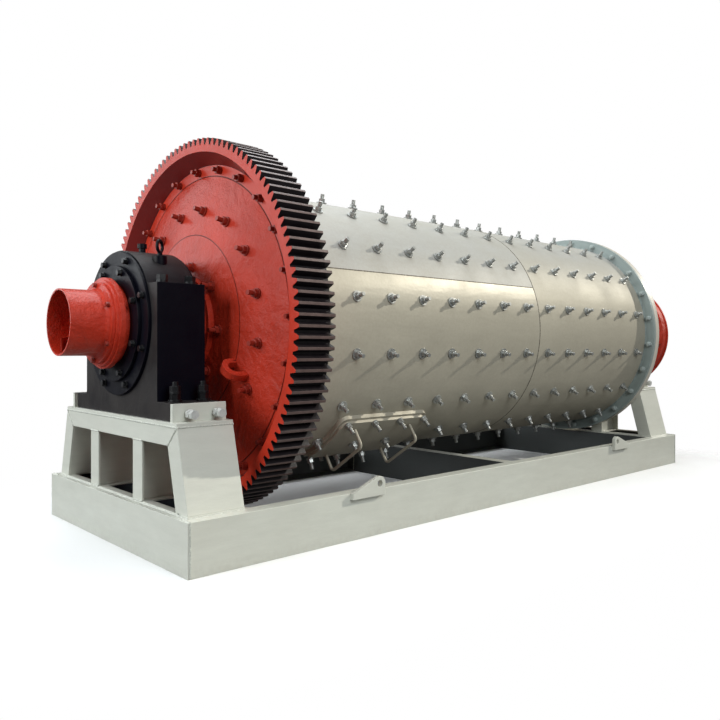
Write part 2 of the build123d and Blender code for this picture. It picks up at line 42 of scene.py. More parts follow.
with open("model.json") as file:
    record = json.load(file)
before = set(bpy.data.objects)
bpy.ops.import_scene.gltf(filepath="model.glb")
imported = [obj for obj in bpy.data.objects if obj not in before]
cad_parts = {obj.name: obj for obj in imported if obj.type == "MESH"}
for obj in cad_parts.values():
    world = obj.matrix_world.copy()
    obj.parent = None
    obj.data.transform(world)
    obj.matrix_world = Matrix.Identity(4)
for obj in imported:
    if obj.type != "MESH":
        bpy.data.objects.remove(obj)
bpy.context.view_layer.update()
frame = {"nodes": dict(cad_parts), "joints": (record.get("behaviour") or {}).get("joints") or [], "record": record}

BASE = "base"
DRUM = "drum"
X, Y, Z = 0, 1, 2
UP = Vector((0, 0, 1))
AXIS_HEIGHT = frame["joints"][0]["pos_m"][Z]
ENDS = ("feed", "discharge")
OUTWARD = {"feed": -1, "discharge": 1}


def span(node, axis):
    """Where a CAD node starts and ends along one axis."""
    low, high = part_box(node)
    return low[axis], high[axis]


def outer_radius(node):
    """The outer radius of a CAD node that is round about the mill axis."""
    return span(node, Z)[1] - AXIS_HEIGHT


SHELL_RADIUS = outer_radius("shell_course_discharge")
SHELL_START, COURSE_SEAM = span("shell_course_feed", X)
LONG_SEAM = math.radians(22)
SKID_TOP = span("skid_rail_near", Z)[1]
MIDDLE = {end: sum(span(end + "_bearing_base", X)) / 2 for end in ENDS}

# Sizes of the CAD part that its nodes' boxes don't give.
HEAD_FRONT = span("ring_gear", X)[0] + 0.088
HEAD_CREASE = 0.490
HEAD_JOINT = 0.815
WEB_CORNER = 0.873
RIM_INSIDE = 0.936
TOOTH_DEPTH = 0.037
INNER_COVER_BOLTS = 0.268
OUTER_COVER_BOLTS = 0.330
OUTER_COVER_EDGE = 0.363
GEAR_BOLTS = 0.845
PIPE_BOLTS = 0.187
BOLT_HALF_PITCH = 0.073
CAP_PLATE = 0.018
POST_FLANGE = 0.1
POST_WALL = 0.010
SOLE_EDGE = 0.085
RAIL_FLANGE = 0.08
SEAM_RADIUS = SHELL_RADIUS - 0.001

# Where the bolts of a housing stand, from its middle and from the mill axis.
CAP_SHIFT, CAP_SIDE = 0.013, 0.393
FOOT_SHIFT, FOOT_SIDE = 0.007, 0.483
JACK_SHIFT, JACK_HALF_PITCH, JACK_DROP = 0.011, 0.071, 0.4235
ABOVE_ALL = 3.0

# Each kind of fastener: the body it rides on, its paint slot and its material.
BOLT_KINDS = {
    "shell": (DRUM, "silver_paint", "bolt_steel"),
    "red": (DRUM, "red_paint", "red_bolt"),
    "discharge head": (DRUM, "red_paint", "grey_bolt"),
    "grey-green": (DRUM, "grey_green_paint", "grey_bolt"),
    "cream": (DRUM, "cream_paint", "grey_bolt"),
    "bearing": (BASE, "bearing_paint", "black_bolt"),
    "jack": (BASE, "skid_paint", "white_bolt"),
}


def length(name, description, default, least):
    """A length that a user may change, and the least that it may be."""
    return FloatProperty(name=name, description=description, default=default, min=least, unit="LENGTH")


def angle(name, description, degrees):
    """An angle that a user may change."""
    return FloatProperty(name=name, description=description, default=math.radians(degrees), subtype="ANGLE")


def number(name, description, default, least):
    """A number of pieces that a user may change, and the least that it may be."""
    return IntProperty(name=name, description=description, default=default, min=least)


def colour(name, description, default):
    """A colour that a user may change."""
    return FloatVectorProperty(
        name=name, description=description, default=default, subtype="COLOR", min=0, max=1
    )


class MillFasteners(bpy.types.PropertyGroup):
    """Sizes and places of the bolts and nuts."""

    liner_thread: length(
        "Liner bolt thread", "Thread diameter of the bolts that hold the liners", 0.023, least=0.01
    )
    liner_proud: length(
        "Liner bolt stand-off", "How far a liner bolt stands out of the shell", 0.057, least=0.01
    )
    liner_first: length(
        "First liner bolt", "Distance from the shell's feed end to the first liner bolts", 0.172, least=0.03
    )
    liner_pitch: length(
        "Liner bolt pitch", "Distance between liner bolts along the shell", 0.2515, least=0.05
    )
    liner_columns: number(
        "Liner bolt columns", "How many liner bolts stand along the shell", 14, least=1
    )
    liner_rows: number(
        "Liner bolt rows", "How many rows of liner bolts go round the shell", 16, least=2
    )
    liner_turn: angle("Liner row angle", "Angle of the first row above the near horizontal", 10.9)
    head_outer_radius: length(
        "Outer head bolts", "Radius of the outer circle of bolts on a drum head", 0.618, least=0.1
    )
    head_inner_radius: length(
        "Inner head bolts", "Radius of the inner circle of bolts on a drum head", 0.314, least=0.1
    )
    flange_thread: length(
        "Flange bolt thread", "Thread diameter of the bolts of gear and flanges", 0.024, least=0.01
    )
    flange_bolts: number("Flange bolts", "How many bolts go round each large flange", 24, least=3)
    cover_thread: length(
        "Cover bolt thread", "Thread diameter of the bolts of the bearing covers", 0.018, least=0.005
    )
    foundation_thread: length(
        "Foundation stud thread", "Thread diameter of the studs in the housing's foot", 0.030, least=0.01
    )
    manhole_thread: length(
        "Manhole stud thread", "Thread diameter of the studs along the manhole's edges", 0.022, least=0.005
    )


class MillPaints(bpy.types.PropertyGroup):
    """Colours of the finishes."""

    skid: colour("Skid paint", "Paint of skid and pedestals", (0.65, 0.665, 0.59))
    red: colour("Red paint", "Paint of gear faces, feed head and trunnions", (0.51, 0.033, 0.013))
    silver: colour("Shell paint", "Paint of the drum's shell", (0.50, 0.467, 0.375))
    black: colour("Bearing paint", "Paint of the bearing housings", (0.0015, 0.0016, 0.0050))
    grey_green: colour("Flange paint", "Paint of the discharge flange", (0.275, 0.325, 0.31))
    cream: colour("Rim paint", "Paint of the discharge head's rim", (0.58, 0.54, 0.46))


class MillStudio(bpy.types.PropertyGroup):
    """Camera, lamps and floor."""

    camera_place: FloatVectorProperty(
        name="Camera place", description="Where the camera stands", subtype="XYZ", unit="LENGTH",
        default=(-3.944, -3.509, 0.972),
    )
    camera_turn: angle("Camera turn", "How far the camera turns from +Y towards +X", 42.23)
    focal_length: FloatProperty(
        name="Focal length", description="Lens length for a 36 mm wide sensor", default=35.66, unit="CAMERA",
    )
    horizon_shift: FloatProperty(
        name="Horizon shift", description="Upward shift of the lens as a share of the picture",
        default=-0.0156,
    )
    floor_colour: colour("Floor colour", "Colour of the studio floor", (0.93, 0.93, 0.93))
    sun_height: angle("Sun height", "How high the key light stands over the horizon", 28)
    sun_turn: angle("Sun turn", "Where the key light stands, turned from +X towards -Y", 25)


class MillSettings(bpy.types.PropertyGroup):
    """Everything that a user may change before the mill is dressed."""

    fasteners: PointerProperty(type=MillFasteners)
    paints: PointerProperty(type=MillPaints)
    studio: PointerProperty(type=MillStudio)


class Tree:
    """Adds nodes to a node tree and joins them, each call left to right."""

    def __init__(self, tree):
        self.tree = tree

    def add(self, kind, inputs=None, **settings):
        """A new node with its settings, and its inputs given as values or as other nodes' sockets."""
        node = self.tree.nodes.new(kind)
        node.location.x = 180 * len(self.tree.nodes)
        for key, value in settings.items():
            setattr(node, key, value)
        for key, value in (inputs or {}).items():
            self.feed(node, key, value)
        return node

    def feed(self, node, key, value):
        """Sets an input to a plain value, or joins it to a socket."""
        socket = node.inputs[key]
        if isinstance(value, bpy.types.NodeSocket):
            self.tree.links.new(value, socket)
        else:
            socket.default_value = value

    def math(self, operation, first, second=0.0, clamp=False):
        """One sum on two numbers."""
        inputs = {0: first, 1: second}
        return self.add("ShaderNodeMath", inputs, operation=operation, use_clamp=clamp).outputs[0]

    def times(self, *factors):
        """The product of numbers, or where every one of several masks is 1."""
        product = factors[0]
        for factor in factors[1:]:
            product = self.math("MULTIPLY", product, factor)
        return product

    def plus(self, first, second):
        """The sum of two numbers."""
        return self.math("ADD", first, second)

    def apart(self, first, second):
        """How far two numbers lie from each other."""
        return self.math("ABSOLUTE", self.math("SUBTRACT", first, second))

    def over(self, value, least):
        """1 where a number is more than another."""
        return self.math("GREATER_THAN", value, least)

    def under(self, value, most):
        """1 where a number is less than another."""
        return self.math("LESS_THAN", value, most)

    def vector(self, operation, first, second=(0.0, 0.0, 0.0)):
        """One sum on two vectors."""
        return self.add("ShaderNodeVectorMath", {0: first, 1: second}, operation=operation)

    def parts(self, vector):
        """The X, Y and Z of a vector."""
        return self.add("ShaderNodeSeparateXYZ", {0: vector}).outputs

    def place(self):
        """Where a point lies in its object's own frame."""
        return self.add("ShaderNodeTexCoord").outputs["Object"]

    def noise(self, place, scale, detail=2.0, roughness=0.5):
        """Noise in space."""
        inputs = {"Vector": place, "Scale": scale, "Detail": detail, "Roughness": roughness}
        return self.add("ShaderNodeTexNoise", inputs).outputs

    def ramp(self, value, low, high):
        """A number that goes from 0 to 1 while value goes from low to high."""
        inputs = {"Value": value, "From Min": low, "From Max": high}
        return self.add("ShaderNodeMapRange", inputs).outputs[0]

    def between(self, share, low, high):
        """A number that goes from low to high while share goes from 0 to 1."""
        return self.add("ShaderNodeMapRange", {"Value": share, "To Min": low, "To Max": high}).outputs[0]

    def blend(self, share, first, second):
        """A colour between two others."""
        node = self.add("ShaderNodeMix", {0: share}, data_type="RGBA")
        for key, shade in ((6, first), (7, second)):
            self.feed(node, key, shade if isinstance(shade, bpy.types.NodeSocket) else (*shade, 1.0))
        return node.outputs[2]


def shader_group(name, inputs, outputs):
    """An empty shader node group with named number inputs, and the sockets of its two ends."""
    group = bpy.data.node_groups.new(name, "ShaderNodeTree")
    for label, value in inputs.items():
        socket = group.interface.new_socket(label, in_out="INPUT", socket_type="NodeSocketFloat")
        socket.default_value = value
    for label, kind in outputs.items():
        group.interface.new_socket(label, in_out="OUTPUT", socket_type="NodeSocket" + kind)
    tree = Tree(group)
    return tree, tree.add("NodeGroupInput").outputs, tree.add("NodeGroupOutput")


def mottle_group():
    """Soft patches with a finer grain in them, in object space."""
    inputs = {"Scale": 3.0, "Stretch": 1.0, "Contrast": 1.0}
    tree, given, out = shader_group("Mottle", inputs, {"Mask": "Float"})
    place = tree.place()
    drawn_out = tree.add("ShaderNodeCombineXYZ", {0: 1.0, 1: 1.0, 2: given["Stretch"]}).outputs[0]
    stretched = tree.vector("MULTIPLY", place, drawn_out).outputs[0]
    noise = tree.noise(stretched, given["Scale"], detail=5.0, roughness=0.62)["Fac"]
    spread = tree.times(tree.math("SUBTRACT", noise, 0.5), given["Contrast"])
    tree.feed(out, "Mask", tree.math("ADD", spread, 0.5, clamp=True))


def cast_skin_group():
    """The height of a cast skin: broad trowelled waves under a fine grain."""
    tree, given, out = shader_group("Cast skin", {"Scale": 9.0, "Grain": 0.3}, {"Height": "Float"})
    place = tree.place()
    warp = tree.noise(place, 2.4)["Color"]
    drift = tree.add("ShaderNodeVectorMath", {0: warp, "Scale": 0.35}, operation="SCALE").outputs[0]
    bent = tree.vector("ADD", place, drift).outputs[0]
    waves = tree.noise(bent, given["Scale"], detail=3.0, roughness=0.55)["Fac"]
    fine = tree.noise(place, 160.0, detail=3.0)["Fac"]
    tree.feed(out, "Height", tree.plus(waves, tree.times(fine, given["Grain"])))


def groove_group():
    """A narrow mask where a number passes a given value, for a seam drawn on a surface."""
    inputs = {"Value": 0.0, "At": 0.5, "Half Width": 0.001}
    tree, given, out = shader_group("Groove", inputs, {"Mask": "Float"})
    away = tree.apart(given["Value"], given["At"])
    inside = tree.math("SUBTRACT", 1.0, tree.math("DIVIDE", away, given["Half Width"]), clamp=True)
    tree.feed(out, "Mask", inside)


def edge_group():
    """Where a surface turns sharply: a mask along edges and the normal of the rounded edge."""
    outputs = {"Mask": "Float", "Normal": "Vector"}
    tree, given, out = shader_group("Rounded edge", {"Radius": 0.003, "Strength": 4.0}, outputs)
    rounded = tree.add("ShaderNodeBevel", {"Radius": given["Radius"]}, samples=6).outputs[0]
    plain = tree.add("ShaderNodeNewGeometry").outputs["Normal"]
    likeness = tree.vector("DOT_PRODUCT", rounded, plain).outputs["Value"]
    departure = tree.math("SUBTRACT", 1.0, likeness)
    tree.feed(out, "Mask", tree.math("MULTIPLY", departure, given["Strength"], clamp=True))
    tree.feed(out, "Normal", rounded)


def polar_group():
    """Where a point lies: its radius and angle about the mill axis, and its place along it."""
    outputs = {"Radius": "Float", "Angle": "Float", "Along": "Float"}
    tree, given, out = shader_group("Mill polar", {"Axis Height": AXIS_HEIGHT}, outputs)
    parts = tree.parts(tree.place())
    height = tree.math("SUBTRACT", parts["Z"], given["Axis Height"])
    squares = tree.plus(tree.math("POWER", parts["Y"], 2.0), tree.math("POWER", height, 2.0))
    towards_near = tree.times(parts["Y"], -1.0)
    tree.feed(out, "Radius", tree.math("SQRT", squares))
    tree.feed(out, "Angle", tree.math("ARCTAN2", height, towards_near))
    tree.feed(out, "Along", parts["X"])


class Finish(Tree):
    """A material with one Principled shader, and calls for the shared groups."""

    def __init__(self, name, specular=0.5, **constants):
        self.material = bpy.data.materials.new(name)
        self.material.use_nodes = True
        super().__init__(self.material.node_tree)
        self.shader = self.tree.nodes["Principled BSDF"]
        self.shader.inputs["Specular IOR Level"].default_value = specular
        for label, value in constants.items():
            self.shader.inputs[label.replace("_", " ").title()].default_value = value

    def group(self, name, **values):
        """One of the shared groups, with this material's own values."""
        node = self.add("ShaderNodeGroup", node_tree=bpy.data.node_groups[name])
        for label, value in values.items():
            self.feed(node, label.replace("_", " ").title(), value)
        return node.outputs

    def mottle(self, scale, contrast, stretch=1.0):
        """A mask of soft patches."""
        return self.group("Mottle", scale=scale, stretch=stretch, contrast=contrast)["Mask"]

    def edge(self, radius, strength):
        """The mask and the normal of rounded edges."""
        return self.group("Rounded edge", radius=radius, strength=strength)

    def ring_line(self, radius, at, half_width):
        """The mask of a circle drawn about the mill axis."""
        return self.group("Groove", value=radius, at=at, half_width=half_width)["Mask"]

    def bump(self, height, distance, normal=None):
        """Feeds a height to the shader's normal."""
        node = self.add("ShaderNodeBump", {"Height": height, "Distance": distance, "Strength": 1.0})
        if normal is not None:
            self.feed(node, "Normal", normal)
        self.feed(self.shader, "Normal", node.outputs[0])

    def colour(self, socket):
        """Feeds the shader's base colour."""
        self.feed(self.shader, "Base Color", socket)

    def roughness(self, mask, low, high):
        """Roughness between two values as a mask goes from 0 to 1."""
        self.feed(self.shader, "Roughness", self.between(mask, low, high))


def tint(shade, factor):
    """A colour made lighter or darker."""
    return tuple(min(1.0, channel * factor) for channel in shade)


def skid_paint(paints):
    """Off-white gloss paint on welded plate: faint streaks, grime at the foot, painted highlight on its edges and
    painted shade in its windows and inside.
    """
    finish = Finish("skid_paint", coat_weight=0.3, coat_roughness=0.2)
    streaks = finish.mottle(5.0, 1.6, stretch=5.0)
    patches = finish.mottle(1.6, 2.0)
    grain = finish.mottle(45.0, 1.5)
    place = finish.parts(finish.place())
    height = place["Z"]
    edge = finish.edge(0.005, 3.0)
    low_end, high_end = span("skid_end_plates", X)
    from_middle = finish.apart(place["X"], (low_end + high_end) / 2)
    from_end = finish.math("SUBTRACT", (high_end - low_end) / 2, from_middle)
    from_axis = finish.math("ABSOLUTE", place["Y"])

    end_plate, end_frame, web_inside = 0.006, 0.346, 0.8005
    in_skid = finish.times(
        finish.over(from_end, end_plate),
        finish.under(height, SKID_TOP - 0.0005),
        finish.under(from_axis, web_inside),
    )
    # The skid's insides are painted dark as shade: darkest within the end frames, less dark along the middle.
    painted_inner_shade = finish.blend(finish.under(from_end, end_frame), (0.088, 0.096, 0.094), (0.010, 0.011, 0.013))
    # The insides of the pedestals' windows are painted a little darker as shade.
    window_start, window_end, window_top, window_side = 0.046, 0.308, 0.536, 0.668
    window_shade = finish.times(
        finish.over(from_end, window_start),
        finish.under(from_end, window_end),
        finish.over(height, SKID_TOP + 0.002),
        finish.under(height, window_top),
        finish.under(from_axis, window_side),
    )
    foot = finish.times(finish.ramp(height, 0.07, 0.0), finish.ramp(grain, 0.35, 0.7))
    body = finish.blend(streaks, tint(paints.skid, 0.90), tint(paints.skid, 1.05))
    body = finish.blend(finish.times(patches, 0.35), body, (0.50, 0.48, 0.41))
    body = finish.blend(finish.times(foot, 0.16), body, (0.30, 0.27, 0.21))
    # Edges are painted lighter as a highlight.
    body = finish.blend(edge["Mask"], body, tint(paints.skid, 1.3))
    body = finish.blend(finish.times(window_shade, 0.12), body, (0.10, 0.092, 0.075))
    finish.colour(finish.blend(in_skid, body, painted_inner_shade))
    finish.roughness(patches, 0.32, 0.48)
    finish.bump(finish.plus(streaks, finish.times(grain, 0.25)), 0.0008, edge["Normal"])
    return finish.material


def bearing_paint(paints):
    """Satin black paint on a cast skin, dusty on its tops and on the faces round the covers, with a painted sheen
    on the tops and painted highlights on its edges.
    """
    finish = Finish("bearing_paint", specular=0.1)
    skin = finish.group("Cast skin", scale=14.0, grain=0.35)["Height"]
    patches = finish.mottle(5.0, 2.2)
    edge = finish.edge(0.004, 1.6)
    plain = finish.add("ShaderNodeNewGeometry").outputs["Normal"]
    facing = finish.parts(plain)
    lies_up = finish.times(finish.ramp(facing["Z"], 0.15, 0.95), 0.85)
    looks_outward = finish.ramp(finish.math("ABSOLUTE", facing["X"]), 0.6, 0.9)
    tops_and_ends = finish.math("MAXIMUM", lies_up, looks_outward)
    radius = finish.group("Mill polar")["Radius"]
    off_covers = finish.ramp(radius, OUTER_COVER_EDGE, OUTER_COVER_EDGE + 0.006)
    uneven = finish.between(patches, 0.17, 0.45)
    # Dust on the tops and on the end faces; on the tops it also stands in for the sky's sheen, a painted
    # highlight.
    dust_and_sheen = finish.times(tops_and_ends, uneven, finish.between(off_covers, 0.03, 1.0))
    body = finish.blend(dust_and_sheen, tuple(paints.black), (0.075, 0.066, 0.058))
    height = finish.parts(finish.place())["Z"]
    off_split = finish.ramp(finish.apart(height, AXIS_HEIGHT), 0.004, 0.008)
    # Edges are painted lighter grey: rubbed paint and a painted highlight.
    wear_and_highlight = finish.times(edge["Mask"], off_split, 0.4)
    finish.colour(finish.blend(wear_and_highlight, body, (0.10, 0.09, 0.085)))
    finish.roughness(patches, 0.34, 0.50)
    normals = {0: off_split, 4: plain, 5: edge["Normal"]}
    finish.bump(skin, 0.0016, finish.add("ShaderNodeMix", normals, data_type="VECTOR").outputs[1])
    return finish.material


def bearing_steel():
    """Ground steel with turning marks round the mill axis."""
    finish = Finish("bearing_steel", metallic=1.0)
    polar = finish.group("Mill polar")
    turned = finish.add("ShaderNodeCombineXYZ", {0: polar["Radius"], 1: polar["Along"]}).outputs[0]
    marks = finish.noise(turned, 300.0)["Fac"]
    finish.colour(finish.blend(marks, (0.42, 0.41, 0.40), (0.62, 0.61, 0.60)))
    finish.roughness(marks, 0.22, 0.38)
    return finish.material


GROOVE_SHADE = (0.07, 0.009, 0.006)


def red_body(finish, paints):
    """The orange-red of castings: mottled, paler where the paint is thin."""
    patches = finish.mottle(3.2, 2.2)
    fine = finish.mottle(24.0, 1.8)
    body = finish.blend(patches, tint(paints.red, 0.80), tint(paints.red, 1.14))
    return patches, finish.blend(finish.times(fine, 0.25), body, (0.42, 0.035, 0.016))


def red_paint(paints):
    """Orange-red gloss paint over a rough cast skin, with a dark joint line and a painted shade line at the crease
    round the feed head.
    """
    finish = Finish("red_paint", specular=0.2, coat_weight=0.22, coat_roughness=0.2)
    skin = finish.group("Cast skin", scale=13.0, grain=0.2)["Height"]
    patches, body = red_body(finish, paints)
    edge = finish.edge(0.004, 2.5)
    polar = finish.group("Mill polar")
    # The crease line is painted shade where the head's face bends; the joint line is the dark gap at the gear web.
    crease = finish.ring_line(polar["Radius"], HEAD_CREASE, 0.003)
    joint = finish.ring_line(polar["Radius"], HEAD_JOINT, 0.005)
    on_face = finish.ramp(finish.apart(polar["Along"], HEAD_FRONT), 0.09, 0.08)
    lines = finish.times(finish.math("MAXIMUM", crease, joint), on_face)
    # Edges are painted brighter red: paint rubbed thin and a painted highlight.
    worn = finish.blend(finish.times(edge["Mask"], 0.6), body, tint(paints.red, 1.5))
    finish.colour(finish.blend(finish.times(lines, 0.85), worn, GROOVE_SHADE))
    finish.roughness(patches, 0.34, 0.48)
    finish.bump(finish.math("SUBTRACT", skin, finish.times(lines, 0.5)), 0.016, edge["Normal"])
    return finish.material


def gear_steel(paints):
    """Red faces, black greased flanks and pink-brown worn lands, with painted shade inside the rim and at the
    web's corner.
    """
    finish = Finish("gear_steel", specular=0.22, coat_weight=0.04, coat_roughness=0.25)
    radius = finish.group("Mill polar")["Radius"]
    tip = outer_radius("ring_gear")
    facing = finish.add("ShaderNodeNewGeometry").outputs["True Normal"]
    sideways = finish.math("ABSOLUTE", finish.parts(facing)["X"])
    not_a_face = finish.ramp(sideways, 0.55, 0.45)
    toothed = finish.ramp(radius, tip - TOOTH_DEPTH - 0.005, tip - TOOTH_DEPTH)
    land = finish.ramp(radius, tip - 0.0012, tip - 0.0004)
    grain = finish.mottle(26.0, 1.6)
    edge = finish.edge(0.0025, 2.5)
    red = red_body(finish, paints)[1]
    grease = finish.blend(grain, (0.006, 0.005, 0.007), (0.020, 0.014, 0.015))
    worn = finish.blend(grain, (0.075, 0.050, 0.045), (0.15, 0.10, 0.09))
    cut = finish.blend(land, grease, worn)
    # The corner line is painted shade where the web meets the rim's taper; the joint line is the dark gap at the
    # head.
    joint = finish.ring_line(radius, HEAD_JOINT, 0.005)
    corner = finish.ring_line(radius, WEB_CORNER, 0.004)
    red = finish.blend(finish.times(finish.math("MAXIMUM", joint, corner), 0.85), red, GROOVE_SHADE)
    # The rim's inner surface is painted darker maroon as shade.
    off_web = finish.ramp(sideways, 0.96, 0.90)
    rim_shade = finish.times(finish.ramp(radius, RIM_INSIDE + 0.002, RIM_INSIDE), off_web)
    red = finish.blend(finish.times(rim_shade, 0.75), red, (0.085, 0.014, 0.017))
    finish.colour(finish.blend(finish.times(toothed, not_a_face), red, cut))
    finish.roughness(grain, 0.32, 0.46)
    finish.bump(finish.group("Cast skin", scale=11.0, grain=0.25)["Height"], 0.002, edge["Normal"])
    return finish.material


def silver_paint(paints):
    """Silver-grey paint on rolled plate: warm below the near side's long seam, and greyer on top."""
    finish = Finish("silver_paint", metallic=0.08, specular=0.19)
    polar = finish.group("Mill polar")
    turn = polar["Angle"]
    rolled = finish.vector("MULTIPLY", finish.place(), (0.35, 1.3, 1.3)).outputs[0]
    bands = finish.noise(rolled, 6.0, detail=4.0)["Fac"]
    patches = finish.mottle(3.0, 1.8)
    spots = finish.mottle(60.0, 2.0)
    edge = finish.edge(0.003, 2.0)
    far_fade = finish.ramp(turn, 3.0, 1.7)
    above = finish.times(finish.ramp(turn, LONG_SEAM - 0.002, LONG_SEAM + 0.002), far_fade)
    fading = finish.times(finish.ramp(turn, LONG_SEAM - 0.1, LONG_SEAM + 0.5), far_fade)
    first_course = finish.ramp(polar["Along"], COURSE_SEAM + 0.001, COURSE_SEAM - 0.001)
    second_course = finish.math("SUBTRACT", 1.0, first_course)
    greyer = finish.plus(finish.times(above, first_course), finish.times(fading, second_course))
    grey = tuple(0.93 * sum(paints.silver) / 3 * share for share in (0.98, 1.0, 0.98))
    plate = finish.blend(greyer, tuple(paints.silver), grey)
    dull = finish.plus(finish.times(bands, 0.45), finish.times(patches, 0.35))
    body = finish.blend(dull, plate, tint(paints.silver, 0.62))
    finish.colour(finish.blend(finish.times(spots, 0.22), body, (0.22, 0.19, 0.14)))
    matt_part = finish.math("MAXIMUM", above, second_course)
    finish.roughness(finish.plus(finish.times(patches, 0.4), finish.times(matt_part, 0.3)), 0.31, 0.72)
    finish.shader.inputs["Specular Tint"].default_value = (1.0, 0.93, 0.77, 1.0)
    finish.bump(finish.plus(finish.times(bands, 4.0), finish.times(spots, 0.25)), 0.0008, edge["Normal"])
    return finish.material


def flange_paint(name, paint):
    """Plain paint on a turned flange, with streaks round the mill axis."""
    finish = Finish(name, coat_weight=0.2, coat_roughness=0.2)
    polar = finish.group("Mill polar")
    stretched = {
        0: finish.times(polar["Along"], 40.0),
        1: finish.math("ABSOLUTE", polar["Angle"]),
        2: finish.times(polar["Radius"], 12.0),
    }
    streaks = finish.noise(finish.add("ShaderNodeCombineXYZ", stretched).outputs[0], 3.0, detail=5.0)["Fac"]
    edge = finish.edge(0.003, 2.0)
    body = finish.blend(streaks, tint(paint, 0.75), tint(paint, 1.2))
    # Edges are painted lighter as a highlight.
    finish.colour(finish.blend(edge["Mask"], body, tint(paint, 1.4)))
    finish.roughness(streaks, 0.32, 0.48)
    finish.bump(streaks, 0.0007, edge["Normal"])
    return finish.material


def bolt_steel():
    """Light grey zinc-coated steel, with a thread on the studs that is darker in its valleys."""
    thread_pitch = 0.003
    finish = Finish("bolt_steel", metallic=0.62, coat_weight=0.2)
    along = finish.add("ShaderNodeAttribute", attribute_name="stud_along").outputs["Fac"]
    thread = finish.math("SINE", finish.times(along, math.tau / thread_pitch))
    patches = finish.mottle(38.0, 2.0)
    edge = finish.edge(0.0015, 2.0)
    body = finish.blend(patches, (0.34, 0.35, 0.33), (0.50, 0.51, 0.49))
    in_thread = finish.times(finish.ramp(thread, 0.2, -0.8), 0.5)
    finish.colour(finish.blend(in_thread, body, (0.10, 0.095, 0.08)))
    finish.roughness(patches, 0.24, 0.40)
    finish.bump(thread, 0.0002, edge["Normal"])


def painted_bolt(name, paint):
    """A bolt that was painted over with the piece it holds."""
    finish = Finish(name, specular=0.3, coat_weight=0.06, coat_roughness=0.25)
    patches = finish.mottle(30.0, 2.0)
    edge = finish.edge(0.0015, 3.0)
    body = finish.blend(patches, tint(paint, 0.7), tint(paint, 1.15))
    # Edges are painted lighter as a highlight.
    finish.colour(finish.blend(edge["Mask"], body, tint(paint, 1.6)))
    finish.roughness(patches, 0.32, 0.5)
    finish.bump(patches, 0.0006, edge["Normal"])


def weld_metal(name, paint):
    """A painted weld bead, uneven and a little darker in its ripples."""
    finish = Finish(name)
    ripples = finish.mottle(90.0, 2.4)
    finish.colour(finish.blend(ripples, tint(paint, 0.62), tint(paint, 1.05)))
    finish.roughness(ripples, 0.38, 0.6)
    finish.bump(ripples, 0.0015)


class GeometryTree(Tree):
    """A Geometry Nodes tree that takes a mesh and gives a realized one with its material."""

    def __init__(self, name, lengths):
        group = bpy.data.node_groups.new(name, "GeometryNodeTree")
        kinds = {"Geometry": "Geometry", **{label: "Float" for label in lengths}, "Seed": "Int"}
        kinds["Material"] = "Material"
        for label, kind in kinds.items():
            group.interface.new_socket(label, in_out="INPUT", socket_type="NodeSocket" + kind)
        group.interface.new_socket("Geometry", in_out="OUTPUT", socket_type="NodeSocketGeometry")
        super().__init__(group)
        self.given = self.add("NodeGroupInput").outputs

    def result(self, kind, inputs, **settings):
        """A new node, and its first output."""
        return self.add(kind, inputs, **settings).outputs[0]

    def give(self, geometry):
        """Realizes the instances, sets their material and gives them as the tree's output."""
        real = self.result("GeometryNodeRealizeInstances", {"Geometry": geometry})
        painting = {"Geometry": real, "Material": self.given["Material"]}
        self.add("NodeGroupOutput", {"Geometry": self.result("GeometryNodeSetMaterial", painting)})


def fastener_tree():
    """A washer, a nut and a stud on each point, along the point's facing attribute."""
    tree = GeometryTree("Fasteners", ("Thread", "Proud", "Washer Radius", "Washer Thickness"))
    given = tree.given
    on_washer = given["Washer Thickness"]

    def disc(sides, radius, depth, low):
        """A cylinder from a height upwards."""
        sizes = {"Vertices": sides, "Radius": radius, "Depth": depth}
        shape = tree.result("GeometryNodeMeshCylinder", sizes)
        lift = tree.result("ShaderNodeCombineXYZ", {2: tree.plus(low, tree.times(depth, 0.5))})
        return tree.result("GeometryNodeTransform", {"Geometry": shape, "Translation": lift})

    nut_radius = tree.times(given["Thread"], 0.88)
    nut_height = tree.times(given["Thread"], 0.85)
    washer = disc(20, given["Washer Radius"], on_washer, 0.0)
    nut = disc(6, nut_radius, nut_height, on_washer)
    collar = disc(12, tree.times(nut_radius, 0.84), tree.times(nut_height, 1.06), on_washer)
    stud = disc(12, tree.times(given["Thread"], 0.5), given["Proud"], 0.0)
    height = tree.parts(tree.result("GeometryNodeInputPosition", {}))["Z"]
    marked = {"Geometry": stud, "Name": "stud_along", "Value": height}
    stud = tree.result("GeometryNodeStoreNamedAttribute", marked, data_type="FLOAT", domain="POINT")
    whole = tree.add("GeometryNodeJoinGeometry")
    for piece in (washer, nut, collar, stud):
        tree.tree.links.new(piece, whole.inputs[0])

    facing = tree.result("GeometryNodeInputNamedAttribute", {"Name": "facing"}, data_type="FLOAT_VECTOR")
    upright = tree.result("FunctionNodeAlignRotationToVector", {"Vector": facing}, axis="Z")
    drawn = tree.add("FunctionNodeRandomValue", {"Max": math.tau, "Seed": given["Seed"]}, data_type="FLOAT")
    spin = tree.result("FunctionNodeAxisAngleToRotation", {"Angle": drawn.outputs[1]})
    turned = tree.result("FunctionNodeRotateRotation", {0: upright, 1: spin}, rotation_space="LOCAL")
    placing = {"Points": given["Geometry"], "Instance": whole.outputs[0], "Rotation": turned}
    tree.give(tree.result("GeometryNodeInstanceOnPoints", placing))


